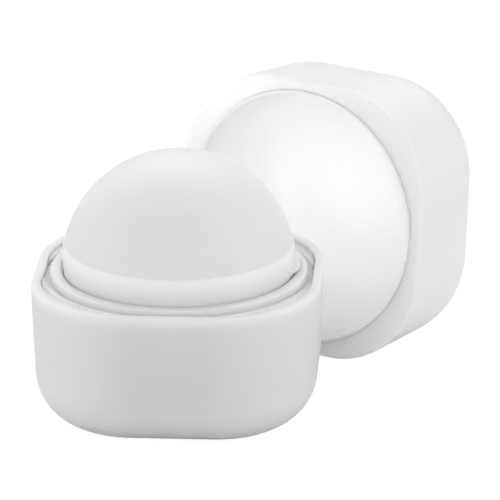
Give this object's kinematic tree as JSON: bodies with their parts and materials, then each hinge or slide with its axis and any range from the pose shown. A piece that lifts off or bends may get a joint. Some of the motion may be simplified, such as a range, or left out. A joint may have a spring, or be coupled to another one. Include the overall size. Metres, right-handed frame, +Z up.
{
  "type": "cube lip balm",
  "caption": "Rounded cube lip balm, opened: a base with a screw neck and a domed balm, and its lined screw cap lying beside it.",
  "frame": {"origin": "middle of the base's flat underside", "axes": "+Z up through the balm; X and Y square with the sides of the base, with +X to the right and +Y away from the viewer of the picture"},
  "size_m": [0.057, 0.0627, 0.0384],
  "materials": {
    "white_gloss": "glossy moulded white",
    "white_satin": "satin moulded white",
    "balm_wax": "smooth soft wax with a faint sheen"
  },
  "bodies": {
    "base": {"base_shell": "white_gloss", "neck_insert": "white_satin", "balm_holder": "white_satin", "balm": "balm_wax"},
    "cap": {"cap_shell": "white_gloss", "cap_liner": "white_satin"}
  },
  "joints": [
    {"name": "cap_swing", "type": "hinge", "parent": "base", "child": "cap", "pos_m": [0.00615, -0.00464, 0.01522], "axis": [0.4564, -0.7826, -0.4234], "range_deg": [0, 108]}
  ]
}
